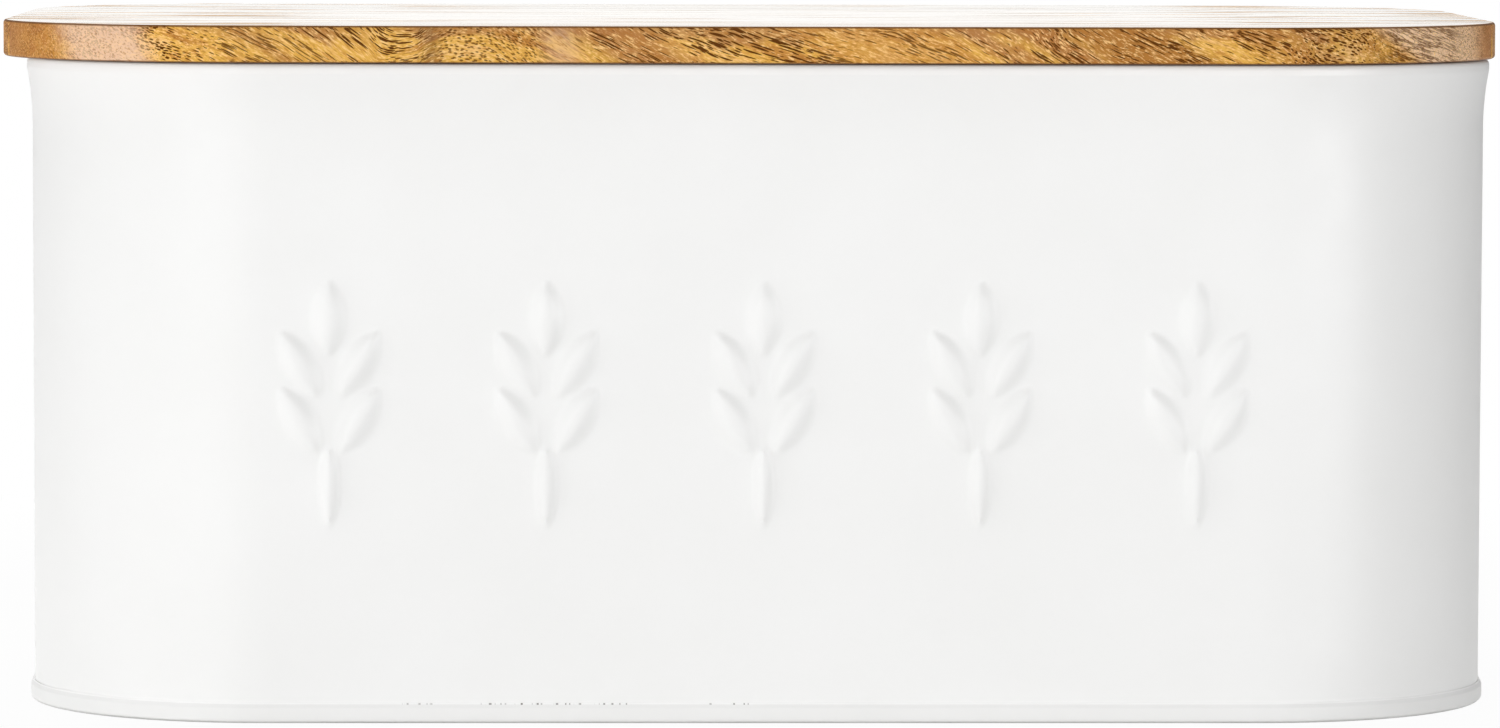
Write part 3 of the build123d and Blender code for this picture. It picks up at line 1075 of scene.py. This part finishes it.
def build_floor():
    """Plain white floor that keeps the bin's shadow near it and is dimmer to the sides in gloss."""
    bpy.ops.mesh.primitive_plane_add(size=FLOOR_SIZE, location=(0, 0, 0))
    floor = bpy.context.object
    floor.name = "floor"
    material, tree, shader = new_material("pale_floor")
    shader.inputs["Base Color"].default_value = FLOOR_GREY
    shader.inputs["Roughness"].default_value = FLOOR_ROUGHNESS
    own = node(tree, "ShaderNodeTexCoord")["Object"]
    away = node(tree, "ShaderNodeVectorMath", {0: own}, operation="LENGTH")["Value"]
    share = remap(tree, away, *FLOOR_FADE, FLOOR_WHITE, 1.0)
    side = size_of(tree, node(tree, "ShaderNodeSeparateXYZ", {0: own})[0])
    mirrored = remap(tree, side, *FLOOR_SIDES, 1.0, FLOOR_SIDE_SHARE)
    surface = white_to_camera(tree, share, shader.outputs[0], mirrored)
    feed(tree, tree.nodes["Material Output"].inputs["Surface"], surface)
    floor.data.materials.append(material)


def build_world():
    """White surroundings, dimmer to the sides in gloss, with little light of their own."""
    world = bpy.data.worlds.new("surroundings")
    bpy.context.scene.world = world
    world.use_nodes = True
    tree = world.node_tree
    ambient = node(tree, "ShaderNodeBackground", {"Color": (1, 1, 1, 1), "Strength": AMBIENT})[0]
    towards = node(tree, "ShaderNodeTexCoord")["Generated"]
    sideways = size_of(tree, node(tree, "ShaderNodeSeparateXYZ", {0: towards})[0])
    mirrored = remap(tree, sideways, *WORLD_SIDES, 1.0, WORLD_SIDE_SHARE)
    surface = white_to_camera(tree, 1.0, ambient, mirrored)
    feed(tree, tree.nodes["World Output"].inputs["Surface"], surface)


def build_lamps():
    """Soft lamps: a low row in front, the strongest on the left, and weak ones behind and above.

    The lamps that gloss doesn't show would stand as bright patches in the lid's polished top.
    """
    centre = Vector((0, 0, RIM_TOP / 2))
    for name, place, width, height, power, in_gloss in LAMPS:
        lamp = bpy.data.lights.new(name, "AREA")
        lamp.shape = "RECTANGLE"
        lamp.size = width
        lamp.size_y = height
        lamp.energy = power
        holder = bpy.data.objects.new(name, lamp)
        bpy.context.scene.collection.objects.link(holder)
        holder.location = place
        holder.rotation_mode = "QUATERNION"
        holder.rotation_quaternion = (centre - Vector(place)).to_track_quat("-Z", "Y")
        holder.visible_camera = False
        holder.visible_glossy = in_gloss


def build_camera():
    """Long lens in front of the bin, a little above it and to its left, as in the photograph."""
    pitch, yaw, roll = CAMERA_PITCH, CAMERA_YAW, CAMERA_ROLL
    ahead = Vector((sin(yaw) * cos(pitch), cos(yaw) * cos(pitch), -sin(pitch)))
    level = Vector((cos(yaw), -sin(yaw), 0))
    upright = level.cross(ahead)
    right = level * cos(roll) + upright * sin(roll)
    up = upright * cos(roll) - level * sin(roll)
    camera = bpy.data.objects.new("camera", bpy.data.cameras.new("camera"))
    bpy.context.scene.collection.objects.link(camera)
    turn = Matrix((right, up, -ahead)).transposed().to_4x4()
    camera.matrix_world = Matrix.Translation(Vector(CAMERA_MM) * MM) @ turn
    camera.data.lens = LENS_MM
    camera.data.sensor_width = SENSOR_MM
    camera.data.clip_end = CLIP_END
    bpy.context.scene.camera = camera


def build_bin():
    """The wall and the base in white enamel."""
    white_wall = enamel("white_enamel_wall", 0.0, [])
    white_base = enamel("white_enamel_base", BASE_SHADE, CREASE_PINHOLES)
    add_piece("wall_shell", wall_mesh(), "bin", "bin_wall", white_wall)
    add_piece("base_tray", base_mesh(), "bin", "bin_base", white_base)


def build_lid():
    """The five staves, each with wood of its own."""
    board = lid_board()
    stave_depth = (LID_HIGH.y - LID_LOW.y) / STAVE_COUNT
    for row, looks in enumerate(STAVE_LOOKS):
        low_y = LID_LOW.y + row * stave_depth
        material = wood(f"lid_wood_{row + 1}", row, *looks)
        mesh = stave_mesh(board, row, low_y, low_y + stave_depth)
        add_piece(
            f"lid_board_{row + 1}", mesh, "lid", f"lid_stave_{row + 1}", material
        )
    board.free()


build_camera()
build_world()
build_lamps()
build_floor()
bpy.context.scene.view_settings.view_transform = "Standard"
build_bin()
build_lid()
